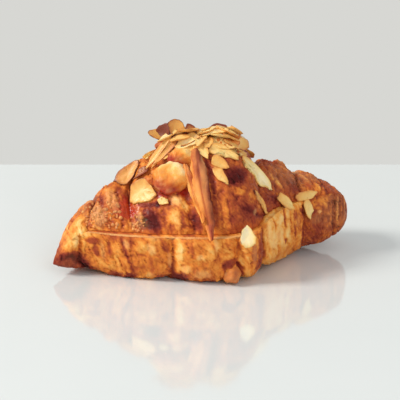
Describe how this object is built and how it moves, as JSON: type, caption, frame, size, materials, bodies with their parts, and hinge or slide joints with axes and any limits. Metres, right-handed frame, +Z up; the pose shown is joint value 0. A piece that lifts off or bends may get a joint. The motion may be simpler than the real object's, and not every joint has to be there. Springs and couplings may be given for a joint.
{
  "type": "almond croissant",
  "caption": "Almond croissant, sliced level through its waist and closed again, with flaked almonds baked onto its crown and shoulders.",
  "frame": {"origin": "under the middle of the croissant's box, on the surface that it stands on", "axes": "+X along the croissant from its low, pointed end to its lifted, blunt end, +Y towards the back, away from the belly, +Z up"},
  "size_m": [0.165, 0.0784, 0.0764],
  "materials": {
    "golden_crust": "baked golden crust with a thin syrup glaze",
    "glazed_crust": "dark baked crust, glazed, with browned almond cream",
    "flaked_almond": "toasted almond slices with thin brown skin at the rim",
    "crumb": "pale cut crumb"
  },
  "bodies": {
    "root": {"lower_half": "golden_crust", "upper_half": "glazed_crust"}
  },
  "joints": []
}
